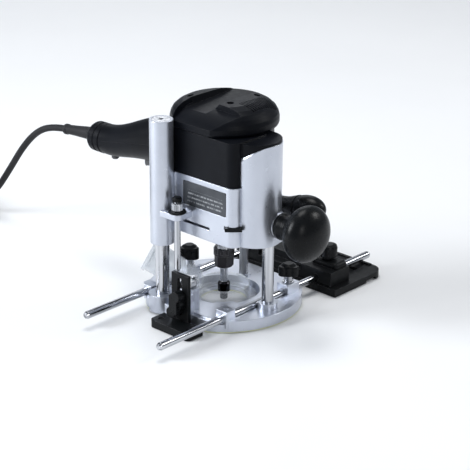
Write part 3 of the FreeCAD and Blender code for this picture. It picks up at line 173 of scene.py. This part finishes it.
class Finish:
    """A material under construction, with its texture coordinates in metres."""

    def __init__(self, name):
        self.material = bpy.data.materials.new(name)
        self.material.use_nodes = True
        self.tree = self.material.node_tree
        self.shader = self.tree.nodes["Principled BSDF"]
        self.place = self.add("ShaderNodeTexCoord").outputs["Object"]

    def add(self, kind, **settings):
        node = self.tree.nodes.new(kind)
        for name, value in settings.items():
            setattr(node, name, value)
        return node

    def join(self, output, target):
        self.tree.links.new(output, target)

    def stretched(self, scale):
        """The place, scaled differently along x, y and z."""
        mapping = self.add("ShaderNodeMapping")
        mapping.inputs["Scale"].default_value = scale
        self.join(self.place, mapping.inputs["Vector"])
        return mapping.outputs["Vector"]

    def axes(self):
        """The place, split into its outputs X, Y and Z."""
        split = self.add("ShaderNodeSeparateXYZ")
        self.join(self.place, split.inputs["Vector"])
        return split.outputs

    def noise(self, scale, detail=4, stretch=None):
        node = self.add("ShaderNodeTexNoise")
        node.inputs["Scale"].default_value = scale
        node.inputs["Detail"].default_value = detail
        self.join(self.stretched(stretch) if stretch else self.place, node.inputs["Vector"])
        return node.outputs["Fac"]

    def span(self, value, low, high, from_low=0.3, from_high=0.7):
        """Map a value's range to another one, held at its ends."""
        node = self.add("ShaderNodeMapRange")
        self.join(value, node.inputs["Value"])
        node.inputs["From Min"].default_value = from_low
        node.inputs["From Max"].default_value = from_high
        node.inputs["To Min"].default_value = low
        node.inputs["To Max"].default_value = high
        return node.outputs["Result"]

    def math(self, operation, first, second):
        node = self.add("ShaderNodeMath", operation=operation)
        for socket, value in zip(node.inputs, (first, second)):
            if isinstance(value, (int, float)):
                socket.default_value = value
            else:
                self.join(value, socket)
        return node.outputs["Value"]

    def blend(self, factor, first, second):
        """Mix two colours, each an output or a plain colour."""
        node = self.add("ShaderNodeMix", data_type="RGBA")
        self.join(factor, node.inputs["Factor"])
        for socket, value in ((node.inputs[6], first), (node.inputs[7], second)):
            if isinstance(value, tuple):
                socket.default_value = (*value, 1)
            else:
                self.join(value, socket)
        return node.outputs[2]

    def edges(self, width):
        """1 on edges and corners, 0 on flat and evenly curved faces."""
        bevel = self.add("ShaderNodeBevel", samples=4)
        bevel.inputs["Radius"].default_value = width
        flat = self.add("ShaderNodeNewGeometry")
        dot = self.add("ShaderNodeVectorMath", operation="DOT_PRODUCT")
        self.join(bevel.outputs["Normal"], dot.inputs[0])
        self.join(flat.outputs["Normal"], dot.inputs[1])
        return self.span(dot.outputs["Value"], 1, 0, 0.8, 0.99)

    def rounded(self, width):
        """A normal that rounds off sharp edges."""
        bevel = self.add("ShaderNodeBevel", samples=4)
        bevel.inputs["Radius"].default_value = width
        return bevel.outputs["Normal"]

    def bump(self, height, strength, distance, normal=None):
        node = self.add("ShaderNodeBump")
        node.inputs["Strength"].default_value = strength
        node.inputs["Distance"].default_value = distance
        self.join(height, node.inputs["Height"])
        if normal:
            self.join(normal, node.inputs["Normal"])
        return node.outputs["Normal"]


# Scales of the textures that all surfaces share, in cells a metre, and the width of worn edges.
CLOUD_SCALE = 22
# PAINTED_REFLECTION_SCALE is the number of cells a metre in the stripes of painted reflection on
# polished metal.
PAINTED_REFLECTION_SCALE = 170
DUST_SCALE = 160
WEAR_SCALE = 240
WEAR_WIDTH = 0.0007
COAT_ROUGHNESS = 0.25


def surface(name, colour, shade, metal, rough, grain, relief, worn=None, round_off=0.0006,
            stretch=None, spread=0.08, coat=0.0, gloss=0.5, streaks=None):
    """A finish that varies slowly from colour to shade, with a fine grain and worn edges.

    grain is the size of the relief's texture in metres, relief its height, and stretch its scale
    along x, y and z. worn is the colour of the edges and round_off their radius. The roughness
    strays from rough by spread. gloss is the strength of the reflection on what isn't metal.
    streaks draws the slow variation out along x, y or z into stripes of painted reflection.
    """
    look = Finish(name)
    shader = look.shader
    shader.inputs["Metallic"].default_value = metal
    shader.inputs["Coat Weight"].default_value = coat
    shader.inputs["Coat Roughness"].default_value = COAT_ROUGHNESS
    shader.inputs["Specular IOR Level"].default_value = gloss
    # With streaks, the colour changes in stripes of painted reflection: light and dark bands that
    # stand in for the surroundings mirrored in polished metal. Without streaks, the tone changes at
    # random.
    if streaks:
        tone_and_painted_reflection = look.noise(PAINTED_REFLECTION_SCALE, detail=1, stretch=streaks)
    else:
        tone_and_painted_reflection = look.noise(CLOUD_SCALE, detail=5)
    tint = look.blend(look.span(tone_and_painted_reflection, 0, 1), colour, shade)
    fine = look.noise(1 / grain, detail=3, stretch=stretch)
    dust = look.noise(DUST_SCALE, detail=6)
    mixed = look.math("MULTIPLY", look.math("ADD", fine, dust), 0.5)
    roughness = look.span(mixed, rough - spread, rough + spread)
    if worn:
        patchy = look.span(look.noise(WEAR_SCALE, detail=5), 0, 1, 0.38, 0.62)
        wear = look.math("MULTIPLY", look.edges(WEAR_WIDTH), patchy)
        tint = look.blend(wear, tint, worn)
    look.join(tint, shader.inputs["Base Color"])
    look.join(roughness, shader.inputs["Roughness"])
    normal = look.bump(fine, 0.6, relief, look.rounded(round_off))
    look.join(normal, shader.inputs["Normal"])
    return look


# ---------------------------------------------------------------- finishes

def cast_aluminium():
    """Satin lacquered casting: faintly cloudy, with a fine orange-peel."""
    return surface("cast_aluminium", (0.60, 0.63, 0.70), (0.52, 0.55, 0.62), 0.90, 0.33, 0.0011,
                   0.00010, worn=(0.82, 0.84, 0.88), round_off=0.001, coat=0.12).material


def turned_aluminium():
    return surface("turned_aluminium", (0.72, 0.73, 0.75), (0.62, 0.63, 0.65), 1.0, 0.30, 0.0006,
                   0.00005, worn=(0.9, 0.9, 0.92), stretch=(0.3, 0.3, 3)).material


def chrome(name, along):
    """Polished plating with hairlines along the piece, and light and dark stripes of painted
    reflection.
    """
    return surface(name, (0.66, 0.67, 0.70), (0.26, 0.27, 0.29), 1.0, 0.13, 0.0030, 0.000004,
                   spread=0.04, stretch=along, streaks=along).material


def plated_steel():
    return surface("plated_steel", (0.62, 0.63, 0.65), (0.50, 0.51, 0.54), 1.0, 0.26, 0.0009,
                   0.00004, worn=(0.80, 0.80, 0.80)).material


def tube_steel():
    return surface("tube_steel", (0.40, 0.41, 0.43), (0.32, 0.33, 0.35), 0.9, 0.38, 0.0009, 0.00004,
                   worn=(0.6, 0.6, 0.6)).material


def blackened_steel():
    return surface("blackened_steel", (0.035, 0.035, 0.04), (0.06, 0.055, 0.055), 0.8, 0.36,
                   0.0009, 0.00005, worn=(0.30, 0.30, 0.31)).material


CUTTER_BODY_TOP = 0.022


def cutter_steel():
    """Ground bright shank, and below it the dark coated body of the cutter."""
    look = surface("cutter_steel", (0.66, 0.67, 0.69), (0.55, 0.56, 0.58), 1.0, 0.20, 0.0009,
                   0.00004, stretch=(0.3, 0.3, 3))
    axes = look.axes()
    body = look.math("LESS_THAN", axes["Z"], CUTTER_BODY_TOP)
    bright = look.shader.inputs["Base Color"].links[0].from_socket
    look.join(look.blend(body, bright, (0.03, 0.03, 0.034)), look.shader.inputs["Base Color"])
    return look.material


def black_coating():
    return surface("black_coating", (0.003, 0.0035, 0.004), (0.007, 0.008, 0.009), 0.0, 0.40,
                   0.0007, 0.00010, worn=(0.09, 0.09, 0.095), gloss=0.12).material


def grained_plastic(name, round_off):
    """Black mouldings with a spark-eroded grain that wears smooth on the edges."""
    return surface(name, (0.002, 0.0025, 0.004), (0.005, 0.006, 0.009), 0.0, 0.38, 0.0009, 0.00014,
                   worn=(0.030, 0.032, 0.037), round_off=round_off, gloss=0.11).material


def smooth_plastic():
    """Smooth black knobs, a little greasy from handling."""
    return surface("smooth_plastic", (0.003, 0.0035, 0.004), (0.007, 0.008, 0.009), 0.0, 0.30,
                   0.0016, 0.00005, worn=(0.028, 0.028, 0.032), gloss=0.15).material


def grey_plastic():
    return surface("grey_plastic", (0.045, 0.047, 0.052), (0.065, 0.066, 0.07), 0.0, 0.42,
                   0.0010, 0.00015, worn=(0.10, 0.10, 0.11)).material


def soft_rubber():
    return surface("soft_rubber", (0.009, 0.009, 0.011), (0.017, 0.017, 0.019), 0.0, 0.58,
                   0.0012, 0.00020, worn=(0.035, 0.035, 0.037), gloss=0.3).material


def pale_laminate():
    return surface("pale_laminate", (0.72, 0.74, 0.50), (0.66, 0.68, 0.45), 0.0, 0.40, 0.0012,
                   0.00006, worn=(0.80, 0.80, 0.66)).material


def bronze():
    return surface("bronze", (0.62, 0.45, 0.22), (0.50, 0.36, 0.17), 1.0, 0.38, 0.0007, 0.00006,
                   worn=(0.75, 0.60, 0.34)).material


def laminations():
    return surface("laminations", (0.20, 0.19, 0.18), (0.28, 0.26, 0.24), 0.8, 0.45, 0.0005,
                   0.00008, worn=(0.4, 0.38, 0.36), stretch=(0.1, 0.1, 4)).material


def nickel():
    return surface("nickel", (0.74, 0.70, 0.62), (0.66, 0.62, 0.54), 1.0, 0.22, 0.0012, 0.00003,
                   worn=(0.82, 0.80, 0.74)).material


SPOUT_START = 0.042426


def clear_plastic():
    """Clear moulding: nearly invisible on its faces, milky in its spout, painted highlight on its
    edges.

    The spout is what lies further than SPOUT_START from the spindle axis.
    """
    look = Finish("clear_plastic")
    shader = look.shader
    shader.inputs["IOR"].default_value = 1.49
    streaks = look.noise(60, detail=4, stretch=(1, 1, 0.3))
    look.join(look.blend(look.span(streaks, 0, 1), (0.88, 0.91, 0.94), (0.80, 0.84, 0.88)),
              shader.inputs["Base Color"])
    look.join(look.span(look.noise(210, detail=6), 0.04, 0.14), shader.inputs["Roughness"])
    axes = look.axes()
    squares = [look.math("MULTIPLY", axes[axis], axes[axis]) for axis in "XY"]
    spout = look.math("GREATER_THAN", look.math("ADD", *squares), SPOUT_START ** 2)
    skin = look.math("ADD", look.span(streaks, 0.14, 0.22), look.math("MULTIPLY", spout, 0.28))
    # Painted highlight: the edges turn nearly opaque in the pale colour, so they show as a bright
    # rim.
    painted_rim_highlight = look.math("MULTIPLY", look.edges(0.0012), 0.75)
    look.join(look.math("ADD", skin, painted_rim_highlight), shader.inputs["Alpha"])
    ripples = look.bump(look.noise(90, detail=2), 0.3, 0.0002, look.rounded(0.0006))
    look.join(ripples, shader.inputs["Normal"])
    return look.material


# Distance between the rows of small print, and the margins around them at the plate's low and
# high ends along y and z.
PRINT_PITCH = 0.0042
PRINT_MARGINS = {"Y": (0.004, 0.006), "Z": (0.003, 0.008)}


def printed_plate():
    """Dark foil with rows of faint pale dashes that stand for small print."""
    look = Finish("printed_plate")
    shader = look.shader
    shader.inputs["Metallic"].default_value = 0.4
    low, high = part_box("rating_plate")
    axes = look.axes()
    rows = look.math("MULTIPLY", axes["Z"], 2 * math.pi / PRINT_PITCH)
    lines = look.span(look.math("SINE", rows, 0), 0, 1, 0.25, 0.45)
    dashes = look.span(look.noise(1000, detail=2, stretch=(0.02, 0.8, 0.24)), 0, 1, 0.44, 0.50)
    marks = look.math("MULTIPLY", lines, dashes)
    for axis, (below, above) in PRINT_MARGINS.items():
        number = "XYZ".index(axis)
        past_start = look.math("GREATER_THAN", axes[axis], low[number] + below)
        marks = look.math("MULTIPLY", marks, past_start)
        before_end = look.math("LESS_THAN", axes[axis], high[number] - above)
        marks = look.math("MULTIPLY", marks, before_end)
    base = look.blend(look.span(look.noise(60), 0, 1), (0.045, 0.05, 0.058), (0.065, 0.07, 0.08))
    faint = look.math("MULTIPLY", marks, 0.45)
    look.join(look.blend(faint, base, (0.62, 0.64, 0.66)), shader.inputs["Base Color"])
    look.join(look.span(look.noise(300), 0.30, 0.42), shader.inputs["Roughness"])
    normal = look.bump(look.noise(900), 0.3, 0.00005, look.rounded(0.0004))
    look.join(normal, shader.inputs["Normal"])
    return look.material


FINISHES = [
    (cast_aluminium(), ["base_plate", "motor_housing"]),
    (turned_aluminium(), ["turret_disc"]),
    (chrome("chrome_columns", (1, 1, 0.03)), ["column_left", "column_right"]),
    (chrome("chrome_rods", (0.03, 1.6, 1.6)), ["guide_rods"]),
    (chrome("chrome_small", (1.6, 1.6, 0.05)),
     ["depth_rod", "depth_nut", "turret_screws", "rear_clamp_screw", "front_clamp_screw",
      "sleeve_plug"]),
    (plated_steel(), ["base_screws", "carriage_screws", "stop_screws", "spindle", "bearings",
                      "plunge_spring", "collet"]),
    (tube_steel(), ["spring_tube"]),
    (blackened_steel(), ["collet_nut"]),
    (cutter_steel(), ["router_bit"]),
    (black_coating(), ["support_foot", "stop_plate", "stop_body"]),
    (grained_plastic("grained_plastic", 0.0012),
     ["motor_casing", "handle_upper", "handle_lower", "twist_ring", "speed_module", "power_inlet",
      "switch"]),
    (grained_plastic("slotted_plastic", 0.0004), ["top_cap"]),
    (smooth_plastic(), ["spindle_lock", "lock_knob", "hand_rest", "depth_flange", "depth_adjuster",
                        "rear_clamp_knob", "front_clamp_knob", "support_knob", "stop_knob_front",
                        "stop_knob_rear"]),
    (grey_plastic(), ["trigger", "lock_on_button", "cord_latch", "speed_dial", "brush_gear",
                      "cooling_fan"]),
    (soft_rubber(), ["cord_plug", "mains_plug"]),
    (pale_laminate(), ["sole_plate"]),
    (bronze(), ["column_bushes"]),
    (laminations(), ["stator", "armature"]),
    (nickel(), ["plug_pins"]),
    (clear_plastic(), ["dust_hood"]),
    (printed_plate(), ["rating_plate"]),
]


def dress(piece, material):
    piece.data.materials.clear()
    piece.data.materials.append(material)


for material, names in FINISHES:
    for name in names:
        dress(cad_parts[name], material)
dress(lead, bpy.data.materials["soft_rubber"])


# ---------------------------------------------------------------- floor and light

FLOOR_REACH = 16
FLOOR_GAP = 0.0005


def add_floor():
    data = bpy.data.meshes.new("floor")
    reach = FLOOR_REACH
    corners = [(-reach, -reach, 0), (reach, -reach, 0), (reach, reach, 0), (-reach, reach, 0)]
    data.from_pydata(corners, [], [(0, 1, 2, 3)])
    floor = bpy.data.objects.new("floor", data)
    floor.location.z = min(cad_box[0][2], 0) - FLOOR_GAP
    scene.collection.objects.link(floor)
    look = Finish("floor")
    tint = look.blend(look.span(look.noise(3), 0, 1), (0.86, 0.865, 0.87), (0.84, 0.845, 0.85))
    look.join(tint, look.shader.inputs["Base Color"])
    look.join(look.span(look.noise(40), 0.55, 0.65), look.shader.inputs["Roughness"])
    dress(floor, look.material)


# The lamps: name, place, height of the point on the spindle axis that it faces, size, power
# and colour.
LAMPS = [
    ("key", (-1.6, 1.1, 1.15), 0.12, (0.9, 1.1), 48, (0.93, 0.96, 1.0)),
    ("front", (-0.9, -1.9, 0.9), 0.1, (0.5, 0.9), 6, (1.0, 1.0, 1.0)),
    ("rim", (1.4, -1.0, 1.3), 0.1, (0.6, 0.6), 12, (1.0, 1.0, 1.0)),
    ("back", (1.5, 1.6, 1.1), 0.1, (1.2, 0.7), 3.5, (0.95, 0.97, 1.0)),
    ("top", (0.3, 0.5, 2.4), 0.1, (1.0, 1.0), 24, (1.0, 1.0, 1.0)),
]


def add_light(name, place, aim, size, power, colour):
    data = bpy.data.lights.new(name, "AREA")
    data.shape = "RECTANGLE"
    data.size, data.size_y = size
    data.energy = power
    data.color = colour
    light = bpy.data.objects.new(name, data)
    light.location = place
    ahead = Vector((0, 0, aim)) - Vector(place)
    light.rotation_euler = ahead.to_track_quat("-Z", "Y").to_euler()
    scene.collection.objects.link(light)


def add_world():
    """Even, faintly blue light from all around."""
    world = bpy.data.worlds.new("studio")
    world.use_nodes = True
    sky = world.node_tree.nodes["Background"]
    sky.inputs["Color"].default_value = (0.78, 0.84, 0.93, 1)
    sky.inputs["Strength"].default_value = 0.32
    scene.world = world


add_floor()
for lamp in LAMPS:
    add_light(*lamp)
add_world()
scene.view_settings.view_transform = "Standard"
